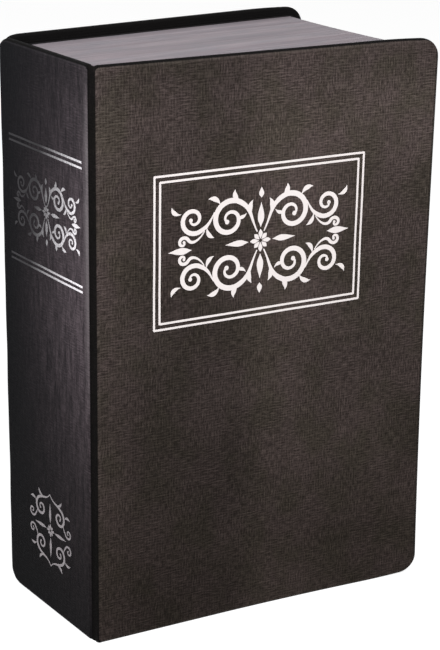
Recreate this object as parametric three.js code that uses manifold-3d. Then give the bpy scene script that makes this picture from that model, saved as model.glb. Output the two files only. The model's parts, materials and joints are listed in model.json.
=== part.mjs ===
// Book diversion safe: a steel cash box with a key-locked lid, built into a moulded page block
// inside a cloth-covered hardback case. Millimetres, +Z up. The book stands on its bottom edges.
// Book coordinates run from the spine (x = 0) to the fore-edge, from the closed front cover's
// outer face (y = 0) to the back, and up from the floor (z = 0). The last lines move them so that
// the origin is under the middle of the part's own box.
import * as THREE from "three";
import { mergeVertices } from "three/addons/utils/BufferGeometryUtils.js";
import Module from "manifold-3d";

const wasm = await Module();
wasm.setup();

// Book case
const bookHeight = 180;
const bookDepth = 55;
const frontSpan = 116.5;
const backSpan = 114;
const boardThickness = 1.7;
const clothThickness = 0.4;
const paperThickness = 0.3;
const glueGap = 0.05;
const turnInWidth = 14;
const paperMargin = 3;
const freeCornerRadius = 6;
const spineCornerRadius = 3;
const hingeCornerRadius = 1.2;
const backBendRadius = 3.2;
const backBendThickness = 0.8;
const backBendInset = 1.4;
const grooveOnFront = 1.4;
const grooveOnSpine = 3.1;
const grooveClothInset = 0.6;

// How the cover and the lid stand in the photograph
const coverAjar = 7;
const lidAngleRatio = 0.6;

// Page block
const headOverhang = 3.3;
const foreOverhang = 5.5;
const foreHollow = 0.8;
const coverClearance = 0.5;
const spineRim = 8;
const foreRim = 9;
const headRim = 9;
const pageFloor = 1.5;

// Steel tray and the face frame that the lid shuts against
const steelThickness = 1;
const trayCornerRadius = 3;
const pocketClearance = 0.3;
const trayBelowRim = 0.6;
const lipWidth = 6;
const hingeLipWidth = 3;
const lidSeatGap = 0.3;

// Lid
const lidThickness = 1.2;
const lidBelowRim = 3.2;
const lidEdgeGap = 0.6;
const lidCornerRadius = 2;
const lidToHingeAxis = 1.2;

// Lid hinge
const leafThickness = 0.8;
const knuckleRadius = 1.5;
const hingePinRadius = 0.8;
const hingePinGap = 0.15;
const hingeLength = 120;
const knuckleCount = 5;
const knuckleGap = 0.4;
const knuckleRelief = 0.4;
const fixedLeafWidth = 11;
const movingLeafWidth = 10;
const leafRivets = 3;
const rivetRadius = 1;
const rivetHeadRadius = 1.7;
const rivetHeadHeight = 0.7;
const rivetInset = 3.4;
const holeGap = 0.15;

// How far a cut runs past the faces that it opens
const past = 1;

// Screws that hold the tray in the page block
const screwRadius = 1.4;
const screwHeadRadius = 2.8;
const screwHeadHeight = 1.5;
const screwLength = 7;
const screwRecessDepth = 0.8;
const screwRecessWidth = 0.7;
const screwFromTrayEnd = 16;

// Key lock
const lockFromLidEdge = 18.5;
const bezelRadius = 8.5;
const bezelHeight = 1.4;
const barrelRadius = 5.9;
const barrelLength = 7.4;
const plugRadius = 4.4;
const plugGap = 0.3;
const keySlotWidth = 1.2;
const keySlotHeight = 6.4;
const keySlotDepth = 6;
const washerRadius = 8;
const washerThickness = 0.6;
const nutWidth = 16;
const nutThickness = 2.5;
const postWidth = 5;
const camGap = 0.2;
const camThickness = 1.5;
const camHubRadius = 6;
const camWidth = 8;
const camBehindLip = 0.6;
const camCatch = 4.5;
const camRiserGap = 0.6;
const camScrewRadius = 1.2;
const camScrewHeadRadius = 3;
const camScrewHeadHeight = 1.4;
const camScrewLength = 3;

// Colours and finishes
const finish = (color, roughness, metalness) =>
  new THREE.MeshStandardMaterial({ color, roughness, metalness });
const coverCloth = finish(0x2e2927, 0.85, 0);
const spineCloth = finish(0x24242a, 0.85, 0);
const grooveCloth = finish(0x141313, 0.9, 0);
const greyboard = finish(0x8c7f6c, 0.95, 0);
const endpaper = finish(0x1d1c1e, 0.8, 0);
const pages = finish(0xb5aeb0, 0.7, 0);
const blackSteel = finish(0x18191b, 0.45, 0.3);
const brightSteel = finish(0xa8aaad, 0.35, 1);
const chrome = finish(0xd5d7da, 0.12, 1);

// Sizes that follow from the ones above
const coverThickness = 2 * clothThickness + boardThickness + paperThickness + 3 * glueGap;
const rimY = coverThickness + coverClearance;
const blockStartX = coverThickness + glueGap;
const blockEndX = backSpan - foreOverhang;
const blockBackY = bookDepth - coverThickness - glueGap;
const tray = {
  x0: blockStartX + spineRim + pocketClearance,
  x1: blockEndX - foreRim - pocketClearance,
  y0: rimY + trayBelowRim,
  y1: blockBackY - pageFloor - pocketClearance,
  z0: headOverhang + headRim + pocketClearance,
  z1: bookHeight - headOverhang - headRim - pocketClearance,
};
const middleZ = bookHeight / 2;
const nutCornerRadius = nutWidth / Math.sqrt(3);
const insideX0 = tray.x0 + steelThickness;
const insideX1 = tray.x1 - steelThickness;
const lidFaceY = rimY + lidBelowRim;
const lidBackY = lidFaceY + lidThickness;
const lipY = lidBackY + lidSeatGap;
const hingeAxis = { x: insideX0 + glueGap + knuckleRadius, y: lidFaceY - glueGap - knuckleRadius };
const lidStartX = hingeAxis.x + lidToHingeAxis;
const lidEndX = insideX1 - lidEdgeGap;
const lidHalfHeight = (tray.z1 - tray.z0) / 2 - steelThickness - lidEdgeGap;
const lockX = lidEndX - lockFromLidEdge;
const knucklePitch = (hingeLength - knuckleGap) / knuckleCount;
const coverAxis = { x: grooveOnFront, y: coverThickness / 2 };
const coverAngle = THREE.MathUtils.degToRad(coverAjar);
const lidAngle = coverAngle * lidAngleRatio;

// Solids from geometries, for joins and cuts
function solid(geometry) {
  const bare = new THREE.BufferGeometry();
  bare.setAttribute("position", geometry.getAttribute("position"));
  if (geometry.index) bare.setIndex(geometry.index);
  const merged = mergeVertices(bare, 1e-4);
  return new wasm.Manifold(
    new wasm.Mesh({
      numProp: 3,
      vertProperties: merged.attributes.position.array,
      triVerts: new Uint32Array(merged.index.array),
    }),
  );
}

function geometryOf(body) {
  const { vertProperties, triVerts } = body.getMesh();
  const geometry = new THREE.BufferGeometry();
  geometry.setAttribute("position", new THREE.BufferAttribute(vertProperties, 3));
  geometry.setIndex(new THREE.BufferAttribute(triVerts, 1));
  geometry.computeVertexNormals();
  return geometry;
}

// A node from one solid or several joined ones, less the cuts
function node(name, material, bodies, cuts = []) {
  let body = bodies[0];
  for (const other of bodies.slice(1)) body = body.add(other);
  for (const cut of cuts) body = body.subtract(cut);
  const mesh = new THREE.Mesh(geometryOf(body), material);
  mesh.name = name;
  return mesh;
}

// Basic shapes, in the coordinates of whatever holds them
function block(x0, x1, y0, y1, z0, z1) {
  const box = new THREE.BoxGeometry(x1 - x0, y1 - y0, z1 - z0);
  return solid(box.translate((x0 + x1) / 2, (y0 + y1) / 2, (z0 + z1) / 2));
}

function roundedOutline(x0, x1, y0, y1, startRadius, endRadius) {
  const outline = new THREE.Shape();
  outline.absarc(x1 - endRadius, y0 + endRadius, endRadius, -Math.PI / 2, 0);
  outline.absarc(x1 - endRadius, y1 - endRadius, endRadius, 0, Math.PI / 2);
  outline.absarc(x0 + startRadius, y1 - startRadius, startRadius, Math.PI / 2, Math.PI);
  outline.absarc(x0 + startRadius, y0 + startRadius, startRadius, Math.PI, 1.5 * Math.PI);
  return outline;
}

function extruded(outline, from, to, curveSegments = 6) {
  const depth = to - from;
  return new THREE.ExtrudeGeometry(outline, { depth, bevelEnabled: false, curveSegments }).translate(
    0,
    0,
    from,
  );
}

// A plate in the XZ plane with rounded corners, from y0 to y1
function uprightPlate(x0, x1, y0, y1, z0, z1, startRadius, endRadius = startRadius) {
  const outline = roundedOutline(x0, x1, z0, z1, startRadius, endRadius);
  return solid(extruded(outline, -y1, -y0).rotateX(Math.PI / 2));
}

// Round bars along Y, Z and X, between the two places given last
function barAlongY(x, z, radius, y0, y1, sides = 24) {
  const bar = new THREE.CylinderGeometry(radius, radius, y1 - y0, sides);
  return solid(bar.translate(x, (y0 + y1) / 2, z));
}

function barAlongZ(x, y, radius, z0, z1, sides = 20) {
  const bar = new THREE.CylinderGeometry(radius, radius, z1 - z0, sides).rotateX(Math.PI / 2);
  return solid(bar.translate(x, y, (z0 + z1) / 2));
}

function barAlongX(y, z, radius, x0, x1, sides = 16) {
  const bar = new THREE.CylinderGeometry(radius, radius, x1 - x0, sides).rotateZ(Math.PI / 2);
  return solid(bar.translate((x0 + x1) / 2, y, z));
}

// A board with its cloth and its lining, in its own frame: x from the hinge edge to the other
// edge, y along the height, z inward from the outer face
function clothedBoard(name, cloth, lining, width, hingeRadius, freeRadius) {
  const level = (inset, from, to, least = 0.3) =>
    solid(
      extruded(
        roundedOutline(
          inset,
          width - inset,
          inset,
          bookHeight - inset,
          Math.max(hingeRadius - inset, least),
          Math.max(freeRadius - inset, least),
        ),
        from,
        to,
      ),
    );
  const boardOuter = clothThickness + glueGap;
  const boardInner = boardOuter + boardThickness;
  const turnInFace = boardInner + glueGap + clothThickness;
  const wrap = level(0, 0, turnInFace);
  const boardRoom = level(clothThickness, clothThickness, boardInner + glueGap);
  const window = level(turnInWidth, boardInner, turnInFace + past);
  const plug = level(turnInWidth + glueGap, boardInner + glueGap, turnInFace + glueGap);
  const sheet = level(paperMargin, turnInFace + glueGap, turnInFace + glueGap + paperThickness);
  return [
    node(`${name}_board`, greyboard, [level(boardOuter, boardOuter, boardInner)]),
    node(`${name}_cloth`, cloth, [wrap], [boardRoom, window]),
    node(`${name}_${lining}`, endpaper, [plug, sheet]),
  ];
}

function frontCover() {
  const width = frontSpan - grooveOnFront;
  const cover = new THREE.Group();
  cover.add(...clothedBoard("front", coverCloth, "endpaper", width, hingeCornerRadius, freeCornerRadius));
  cover.rotation.x = -Math.PI / 2;
  cover.position.set(grooveOnFront, 0, bookHeight);
  return cover;
}

function backCover() {
  const width = backSpan - backBendRadius;
  const cover = new THREE.Group();
  cover.add(...clothedBoard("back", coverCloth, "endpaper", width, spineCornerRadius, freeCornerRadius));
  cover.rotation.x = Math.PI / 2;
  cover.position.set(backBendRadius, bookDepth, 0);
  return cover;
}

function spine() {
  const width = bookDepth - backBendRadius - grooveOnSpine;
  const cover = new THREE.Group();
  cover.add(...clothedBoard("spine", spineCloth, "lining", width, hingeCornerRadius, spineCornerRadius));
  cover.rotation.set(Math.PI / 2, 0, Math.PI / 2, "ZYX");
  cover.position.set(0, grooveOnSpine, 0);
  return cover;
}

// The rounded corner where the cloth turns from the spine to the back
function backBend() {
  const centre = { x: backBendRadius - glueGap, y: bookDepth - backBendRadius + glueGap };
  const outer = backBendRadius - glueGap;
  const inner = outer - backBendThickness;
  const bend = new THREE.Shape();
  bend.absarc(centre.x, centre.y, outer, Math.PI / 2, Math.PI);
  bend.absarc(centre.x, centre.y, inner, Math.PI, Math.PI / 2, true);
  const strip = extruded(bend, backBendInset, bookHeight - backBendInset, 8);
  return node("back_joint_cloth", spineCloth, [solid(strip)]);
}

// A point of the front cover, in book coordinates, once the cover is turned to its rest
function onCover(x, y) {
  const point = new THREE.Vector2(x, y);
  return point.rotateAround(new THREE.Vector2(coverAxis.x, coverAxis.y), -coverAngle);
}

// The strip of cloth that bends in the groove between the spine and the front cover
function grooveStrip() {
  const spineSide = grooveOnSpine - glueGap;
  const coverSide = grooveOnFront - glueGap;
  const strip = new THREE.Shape([
    new THREE.Vector2(glueGap, spineSide),
    onCover(coverSide - clothThickness, coverThickness - clothThickness),
    onCover(coverSide - clothThickness, grooveClothInset),
    onCover(coverSide, grooveClothInset - clothThickness),
    onCover(coverSide, coverThickness - glueGap),
    new THREE.Vector2(grooveOnFront - clothThickness, spineSide),
  ]);
  const body = extruded(strip, grooveClothInset, bookHeight - grooveClothInset);
  return node("front_joint_cloth", grooveCloth, [solid(body)]);
}

// Moulded block with the page edges, hollowed for the tray
function pageBlock() {
  const outline = new THREE.Shape();
  outline.moveTo(blockStartX, rimY);
  outline.lineTo(blockEndX, rimY);
  outline.quadraticCurveTo(blockEndX - 2 * foreHollow, (rimY + blockBackY) / 2, blockEndX, blockBackY);
  outline.lineTo(blockStartX, blockBackY);
  const whole = solid(extruded(outline, headOverhang, bookHeight - headOverhang, 16));
  const pocket = uprightPlate(
    tray.x0 - pocketClearance,
    tray.x1 + pocketClearance,
    rimY - past,
    blockBackY - pageFloor,
    tray.z0 - pocketClearance,
    tray.z1 + pocketClearance,
    trayCornerRadius,
  );
  return node("page_block", pages, [whole], [pocket, ...screwHoles(screwLength + holeGap)]);
}

// Tray, welded from sheet
function steelTray() {
  const outside = uprightPlate(tray.x0, tray.x1, tray.y0, tray.y1, tray.z0, tray.z1, trayCornerRadius);
  const inside = uprightPlate(
    insideX0,
    insideX1,
    tray.y0 - past,
    tray.y1 - steelThickness,
    tray.z0 + steelThickness,
    tray.z1 - steelThickness,
    trayCornerRadius - steelThickness,
  );
  return node("tray", blackSteel, [outside], [inside, ...screwHoles(screwLength), ...fixedRivetHoles()]);
}

// Flat ring welded inside the tray: the lid shuts against it and the cam catches behind it
function faceFrame() {
  const start = insideX0 + leafThickness + holeGap;
  const low = tray.z0 + steelThickness;
  const high = tray.z1 - steelThickness;
  const ring = uprightPlate(start, insideX1, lipY, lipY + steelThickness, low, high, lidCornerRadius);
  const window = uprightPlate(
    start + hingeLipWidth,
    insideX1 - lipWidth,
    lipY - past,
    lipY + steelThickness + past,
    low + lipWidth,
    high - lipWidth,
    lidCornerRadius,
  );
  return node("face_frame", blackSteel, [ring], [window]);
}

// Knuckles of one leaf: every second one, starting with the given one
function knuckles(first) {
  const bodies = [];
  for (let i = first; i < knuckleCount; i += 2) {
    const z0 = middleZ - hingeLength / 2 + knuckleGap + i * knucklePitch;
    bodies.push([z0, z0 + knucklePitch - knuckleGap]);
  }
  return bodies;
}

const knuckleBars = (first) =>
  knuckles(first).map(([z0, z1]) => barAlongZ(hingeAxis.x, hingeAxis.y, knuckleRadius, z0, z1));

const pinBore = () =>
  barAlongZ(
    hingeAxis.x,
    hingeAxis.y,
    hingePinRadius + hingePinGap,
    middleZ - hingeLength,
    middleZ + hingeLength,
    16,
  );

// Room in one leaf for the knuckles of the other
function knuckleNotches(first) {
  const reach = knuckleRadius + knuckleRelief;
  return knuckles(first).map(([z0, z1]) =>
    block(
      hingeAxis.x - reach,
      hingeAxis.x + reach,
      hingeAxis.y - reach,
      hingeAxis.y + reach,
      z0 - knuckleGap,
      z1 + knuckleGap,
    ),
  );
}

const leafStart = middleZ - hingeLength / 2 + knuckleGap;
const leafEnd = middleZ + hingeLength / 2;
const rivetHeights = Array.from(
  { length: leafRivets },
  (_, i) => middleZ + ((i - (leafRivets - 1) / 2) * hingeLength) / leafRivets,
);
const fixedRivetY = hingeAxis.y + fixedLeafWidth - rivetInset;
const movingRivetX = hingeAxis.x + movingLeafWidth - rivetInset;

const fixedRivetHoles = () =>
  rivetHeights.map((z) =>
    barAlongX(fixedRivetY, z, rivetRadius + holeGap, tray.x0 - past, insideX0 + leafThickness + past),
  );

const movingRivetHoles = () =>
  rivetHeights.map((z) =>
    barAlongY(movingRivetX, z, rivetRadius + holeGap, lidFaceY - leafThickness - past, lidBackY + past, 16),
  );

function fixedLeaf() {
  const x0 = insideX0 + glueGap;
  const plate = block(
    x0,
    x0 + leafThickness,
    hingeAxis.y,
    hingeAxis.y + fixedLeafWidth,
    leafStart,
    leafEnd - knuckleGap,
  );
  const cuts = [...knuckleNotches(1), pinBore(), ...fixedRivetHoles()];
  return node("hinge_leaf_fixed", brightSteel, [plate, ...knuckleBars(0)], cuts);
}

function movingLeaf() {
  const y1 = lidFaceY - glueGap;
  const plate = block(
    hingeAxis.x,
    hingeAxis.x + movingLeafWidth,
    y1 - leafThickness,
    y1,
    leafStart,
    leafEnd - knuckleGap,
  );
  const cuts = [...knuckleNotches(0), pinBore(), ...movingRivetHoles()];
  return node("hinge_leaf_moving", brightSteel, [plate, ...knuckleBars(1)], cuts);
}

function hingePin() {
  const z0 = leafStart - knuckleGap;
  return node("hinge_pin", brightSteel, [
    barAlongZ(hingeAxis.x, hingeAxis.y, hingePinRadius, z0, leafEnd, 16),
  ]);
}

// A rivet or screw along its own -Z, with its head above z = 0
function headedPin(headRadius, headHeight, shankRadius, shankLength) {
  const profile = [new THREE.Vector2(0, -shankLength), new THREE.Vector2(shankRadius, -shankLength)];
  profile.push(new THREE.Vector2(shankRadius, 0), new THREE.Vector2(headRadius, 0));
  profile.push(new THREE.Vector2(headRadius, headHeight * 0.35));
  profile.push(new THREE.Vector2(headRadius * 0.75, headHeight * 0.85));
  profile.push(new THREE.Vector2(0, headHeight));
  return new THREE.LatheGeometry(profile, 16).rotateX(Math.PI / 2);
}

function fixedRivets() {
  const seat = insideX0 + glueGap + leafThickness + glueGap;
  return rivetHeights.map((z, i) => {
    const length = seat - tray.x0;
    const shape = headedPin(rivetHeadRadius, rivetHeadHeight, rivetRadius, length);
    const rivet = node(`fixed_rivet_${i + 1}`, brightSteel, [solid(shape.rotateY(Math.PI / 2))]);
    rivet.position.set(seat, fixedRivetY, z);
    return rivet;
  });
}

function movingRivets() {
  const seat = lidFaceY - glueGap - leafThickness - glueGap;
  return rivetHeights.map((z, i) => {
    const length = lidBackY - seat;
    const shape = headedPin(rivetHeadRadius, rivetHeadHeight, rivetRadius, length);
    const rivet = node(`lid_rivet_${i + 1}`, brightSteel, [solid(shape.rotateX(Math.PI / 2))]);
    rivet.position.set(movingRivetX, seat, z);
    return rivet;
  });
}

// Tray screws, two through the tray's foot and two through its head
const screwPlaces = [
  { x: tray.x0 + screwFromTrayEnd, up: false },
  { x: tray.x1 - screwFromTrayEnd, up: false },
  { x: tray.x0 + screwFromTrayEnd, up: true },
  { x: tray.x1 - screwFromTrayEnd, up: true },
].map((place) => ({
  ...place,
  y: (lipY + tray.y1) / 2,
  z: place.up ? tray.z1 - steelThickness - glueGap : tray.z0 + steelThickness + glueGap,
}));

function screwHoles(depth) {
  return screwPlaces.map(({ x, y, z, up }) => {
    const far = up ? z + depth : z - depth;
    const near = up ? z - past : z + past;
    return barAlongZ(x, y, screwRadius + holeGap, Math.min(far, near), Math.max(far, near), 16);
  });
}

function crossRecess(headHeight) {
  const reach = screwHeadRadius * 0.6;
  const half = screwRecessWidth / 2;
  const floor = headHeight - screwRecessDepth;
  return [
    block(-reach, reach, -half, half, floor, headHeight + past),
    block(-half, half, -reach, reach, floor, headHeight + past),
  ];
}

function trayScrews() {
  const shape = solid(headedPin(screwHeadRadius, screwHeadHeight, screwRadius, screwLength));
  return screwPlaces.map(({ x, y, z, up }, i) => {
    const screw = node(`tray_screw_${i + 1}`, brightSteel, [shape], crossRecess(screwHeadHeight));
    screw.position.set(x, y, z);
    if (up) screw.rotation.x = Math.PI;
    return screw;
  });
}

function lidPlate() {
  const z0 = middleZ - lidHalfHeight;
  const z1 = middleZ + lidHalfHeight;
  const plate = uprightPlate(lidStartX, lidEndX, lidFaceY, lidBackY, z0, z1, lidCornerRadius);
  const lockHole = barAlongY(lockX, middleZ, barrelRadius + holeGap, lidFaceY - past, lidBackY + past);
  return node("lid_plate", blackSteel, [plate], [lockHole, ...movingRivetHoles()]);
}

// Lock, along Y through the lid
const barrelEndY = lidFaceY + barrelLength;
const washerY = lidBackY + glueGap;
const nutY = washerY + washerThickness + glueGap;
const camHubY = barrelEndY + camGap;
const camBackY = camHubY + camThickness;
const camTipY = lipY + steelThickness + camBehindLip;

function lockHousing() {
  const bezelY = lidFaceY - glueGap - bezelHeight;
  const bezel = barAlongY(lockX, middleZ, bezelRadius, bezelY + bezelHeight / 2, lidFaceY - glueGap, 32);
  const rim = barAlongY(lockX, middleZ, bezelRadius - bezelHeight / 2, bezelY, lidFaceY - glueGap, 32);
  const barrel = barAlongY(lockX, middleZ, barrelRadius, lidFaceY - bezelHeight, barrelEndY);
  const bore = barAlongY(lockX, middleZ, plugRadius + plugGap, bezelY - past, barrelEndY + past);
  return node("lock_housing", chrome, [bezel, rim, barrel], [bore]);
}

function lockWasher() {
  const ring = barAlongY(lockX, middleZ, washerRadius, washerY, washerY + washerThickness);
  const bore = barAlongY(lockX, middleZ, barrelRadius + holeGap, washerY - past, nutY);
  return node("lock_washer", brightSteel, [ring], [bore]);
}

function lockNut() {
  const hex = barAlongY(lockX, middleZ, nutCornerRadius, nutY, nutY + nutThickness, 6);
  const bore = barAlongY(lockX, middleZ, barrelRadius + holeGap, nutY - past, nutY + nutThickness + past);
  return node("lock_nut", brightSteel, [hex], [bore]);
}

// Plug with its key slot, and the square post that turns the cam
function lockPlug() {
  const faceY = lidFaceY - bezelHeight + holeGap;
  const body = barAlongY(lockX, middleZ, plugRadius, faceY, barrelEndY);
  const half = postWidth / 2;
  const postEnd = camBackY - glueGap;
  const post = block(lockX - half, lockX + half, barrelEndY - past, postEnd, middleZ - half, middleZ + half);
  const slot = block(
    lockX - keySlotHeight / 2,
    lockX + keySlotHeight / 2,
    faceY - past,
    faceY + keySlotDepth,
    middleZ - keySlotWidth / 2,
    middleZ + keySlotWidth / 2,
  );
  const hole = camScrewRadius + holeGap;
  const tapped = barAlongY(lockX, middleZ, hole, camBackY - camScrewLength - holeGap, camBackY + past, 16);
  return node("lock_plug", chrome, [body, post], [slot, tapped]);
}

// Cranked cam: up beside the nut towards the lid, so that its tip lies just behind the lip
function lockCam() {
  const half = camWidth / 2;
  const riserStart = nutCornerRadius + camRiserGap;
  const riserEnd = riserStart + camThickness;
  const tipEnd = insideX1 - lipWidth - lockX + camCatch;
  const hub = barAlongY(lockX, middleZ, camHubRadius, camHubY, camBackY);
  const arm = block(lockX - half, lockX + half, camHubY, camBackY, middleZ, middleZ + riserEnd);
  const riser = block(
    lockX - half,
    lockX + half,
    camTipY,
    camBackY,
    middleZ + riserStart,
    middleZ + riserEnd,
  );
  const tip = block(
    lockX - half,
    lockX + half,
    camTipY,
    camTipY + camThickness,
    middleZ + riserStart,
    middleZ + tipEnd,
  );
  const socket = postWidth / 2 + holeGap;
  const square = block(
    lockX - socket,
    lockX + socket,
    camHubY - past,
    camBackY + past,
    middleZ - socket,
    middleZ + socket,
  );
  return node("lock_cam", brightSteel, [hub, arm, riser, tip], [square]);
}

function camScrew() {
  const seat = camBackY + glueGap;
  const shape = headedPin(camScrewHeadRadius, camScrewHeadHeight, camScrewRadius, camScrewLength);
  const screw = node("cam_screw", brightSteel, [solid(shape.rotateX(-Math.PI / 2))]);
  screw.position.set(lockX, seat, middleZ);
  return screw;
}

// A group that turns what it holds about an upright axis; its pieces stay in book coordinates
function turnedAbout(axis, angle, pieces) {
  const inner = new THREE.Group();
  inner.position.set(-axis.x, -axis.y, 0);
  inner.add(...pieces);
  const outer = new THREE.Group();
  outer.position.set(axis.x, axis.y, 0);
  outer.rotation.z = -angle;
  outer.add(inner);
  return outer;
}

const book = new THREE.Group();
book.add(spine(), backCover(), backBend(), grooveStrip(), pageBlock(), steelTray(), faceFrame());
book.add(fixedLeaf(), hingePin(), ...fixedRivets(), ...trayScrews());
book.add(turnedAbout(coverAxis, coverAngle, [frontCover()]));
const hungLid = [lidPlate(), movingLeaf(), ...movingRivets()];
const lock = [lockHousing(), lockWasher(), lockNut(), lockPlug(), lockCam(), camScrew()];
book.add(turnedAbout(hingeAxis, lidAngle, [...hungLid, ...lock]));

// The origin is on the floor, under the middle of the part's box, ajar cover included
const frontmostY = onCover(frontSpan, 0).y;
const foremostX = Math.max(backSpan, onCover(frontSpan, coverThickness).x);
book.position.set(-foremostX / 2, -(frontmostY + bookDepth) / 2, 0);

export default new THREE.Group().add(book);
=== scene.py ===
import itertools
import json
import math

import bmesh
import bpy
import numpy as np
from mathutils import Matrix, Vector


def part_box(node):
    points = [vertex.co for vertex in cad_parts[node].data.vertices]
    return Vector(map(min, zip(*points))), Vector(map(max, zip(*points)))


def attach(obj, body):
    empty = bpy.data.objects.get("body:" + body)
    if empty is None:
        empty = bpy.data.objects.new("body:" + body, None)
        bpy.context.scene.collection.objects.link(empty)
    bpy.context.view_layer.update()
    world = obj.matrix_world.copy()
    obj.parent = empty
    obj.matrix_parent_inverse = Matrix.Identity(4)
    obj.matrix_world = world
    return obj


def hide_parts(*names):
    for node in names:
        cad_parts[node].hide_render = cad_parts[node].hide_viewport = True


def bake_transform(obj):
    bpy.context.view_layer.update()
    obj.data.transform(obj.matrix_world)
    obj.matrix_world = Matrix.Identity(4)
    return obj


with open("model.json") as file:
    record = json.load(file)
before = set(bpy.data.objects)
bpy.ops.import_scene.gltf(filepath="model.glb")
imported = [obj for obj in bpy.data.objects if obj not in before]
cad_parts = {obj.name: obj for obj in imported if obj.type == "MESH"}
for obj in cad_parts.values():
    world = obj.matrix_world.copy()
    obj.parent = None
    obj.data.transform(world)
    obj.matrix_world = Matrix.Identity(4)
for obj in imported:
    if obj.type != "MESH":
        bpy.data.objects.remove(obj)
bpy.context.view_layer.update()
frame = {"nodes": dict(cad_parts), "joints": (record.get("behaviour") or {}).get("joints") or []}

# Sizes of the book in millimetres. Book coordinates run from the spine (x = 0) to the fore-edge,
# from the closed front cover's outer face (y = 0) to the back, and up from the floor (z = 0).
MM = 0.001
HEIGHT = 180
DEPTH = 55
FRONT_SPAN = 116.5
BACK_SPAN = 114
CLOTH_WRAP = 2.6
PAPER = 0.3
PAPER_MARGIN = 3
COVER_THICKNESS = 2.95
FREE_CORNER = 6
HINGE_CORNER = 1.2
FOOT_CORNER = 1.3
COVER_CORNERS = (FREE_CORNER, FREE_CORNER, HINGE_CORNER, FOOT_CORNER)
PAPER_CORNER = 0.4
PAPER_RIM = 0.12
RIM = 0.95
RIM_LEAD = 0.5
MAP_SLANT = 0.7
GROOVE_ON_FRONT = 1.4
GROOVE_ON_SPINE = 3.1
GROOVE_CLOTH = 0.35
BEND = 3.2
SPINE_TONE_PAST = 3
GRID = 2.4
SMALLEST_RADIUS = 0.1
SMOOTH_BELOW = math.radians(35)

# Wear, in millimetres. A reach is how far from an edge or an end a change begins.
CORNER_WEAR = {"head": 0.8, "foot": 0.9}
WEAR_REACH = {"across": 22, "up": 16}
WARP = 3.0
WARP_REACH = {"across": 76, "up": 126}
BEND_DROP = {"head": 2.6, "foot": 4.8}
BEND_SPREAD = 2.8
BEND_REACH = 12
RELIEF = 0.05
CASE_RELIEF_START = 30

# Page block
BLOCK_START = 3
BLOCK_END = 108.5
BLOCK_FRONT = 3.45
BLOCK_BACK = 52
BLOCK_FOOT = 3.3
FORE_HOLLOW = 0.8
PAGE_PITCH = 0.55
PAGE_RIDGE = 0.1
PAGE_WANDER = 0.02
PAGE_SETBACK = 0.15
PAGE_RIPPLE = 0.04
POCKET = {"x": (11, 99.5), "z": (12.3, 167.7), "back": 50.5, "corner": 3}

# Foil, pressed on the cloth
FOIL_HEIGHT = 0.05
FOIL_ROOT = -0.1
FOIL_STEP = 0.0005
RULE_WIDTH = 0.66
RULE_CORNER = 0.12
LABEL = {"x": (19.7, 90.6), "z": (99.7, 146.4), "inset": 1.8}
LABEL_SCALE = 0.95
SPINE_RULES = {"y": (6.0, 48.0), "z": (151.6, 149.9, 114.4, 112.8)}
SPINE_RULE_WIDTH = 0.65
SPINE_ORNAMENT = {"centre": (26.3, 132.1), "scale": 0.6}
FOOT_ORNAMENT = {"centre": (27, 28), "scale": 1.0}

# The spine's foil is painted dark between two places across the spine, painted shade where its
# reflection falls off. Above a height the places lean to the front, by a share of the rise above it.
FADE = (11, 40)
FADE_LEAN = 0.2
FADE_LEANS_ABOVE = 100

book_corner = Vector(
    (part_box("spine_cloth")[0].x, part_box("back_cloth")[1].y - DEPTH * MM, 0)
)
joints = {joint["name"]: joint for joint in frame["joints"]}
cover_ajar = -math.radians(joints["cover_hinge"]["range_deg"][0])
cover_axis = Vector(joints["cover_hinge"]["pos_m"])


def in_row(x, y, z):
    """A point in book coordinates, as a point of the shared frame in metres."""
    return book_corner + Vector((x, y, z)) * MM


def on_cover(x, y, z):
    """A point of the closed front cover, in the shared frame, with the cover as it stands at rest."""
    turned = Matrix.Rotation(-cover_ajar, 3, "Z") @ (in_row(x, y, z) - cover_axis)
    return turned + cover_axis


# Mesh helpers
def finished(name, bm, body, surface):
    """A smooth-shaded object from a bmesh, riding on a body, or on nothing where body is None."""
    bmesh.ops.recalc_face_normals(bm, faces=bm.faces[:])
    mesh = bpy.data.meshes.new(name)
    bm.to_mesh(mesh)
    bm.free()
    mesh.materials.append(surface)
    mesh.polygons.foreach_set("use_smooth", [True] * len(mesh.polygons))
    piece = bpy.data.objects.new(name, mesh)
    bpy.context.scene.collection.objects.link(piece)
    if body:
        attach(piece, body)
    return piece


def smooth_by_angle(piece):
    """Marks the sharp edges, so that flat faces stay flat."""
    bm = bmesh.new()
    bm.from_mesh(piece.data)
    for edge in bm.edges:
        edge.smooth = len(edge.link_faces) == 2 and edge.calc_face_angle(0) < SMOOTH_BELOW
    bm.to_mesh(piece.data)
    bm.free()


def weighted_normals(piece):
    modifier = piece.modifiers.new("normals", "WEIGHTED_NORMAL")
    modifier.keep_sharp = True


def rounded_outline(low, high, inset, radii, steps=8):
    """Points round a rectangle given by its corners low and high. The four radii go from the
    corner at the end and foot, past the head, to the corner at the start and foot."""
    corners = (
        (high[0], low[1], -90),
        (high[0], high[1], 0),
        (low[0], high[1], 90),
        (low[0], low[1], 180),
    )
    points = []
    for (x, z, first), radius in zip(corners, radii):
        r = max(radius - inset, SMALLEST_RADIUS)
        cx = x - inset - r if x == high[0] else x + inset + r
        cz = z - inset - r if z == high[1] else z + inset + r
        for i in range(steps + 1):
            a = math.radians(first + 90 * i / steps)
            points.append((cx + r * math.cos(a), cz + r * math.sin(a)))
    return points


def join_rings(bm, a, b):
    count = len(a)
    for i in range(count):
        bm.faces.new((a[i], a[(i + 1) % count], b[(i + 1) % count], b[i]))


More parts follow.
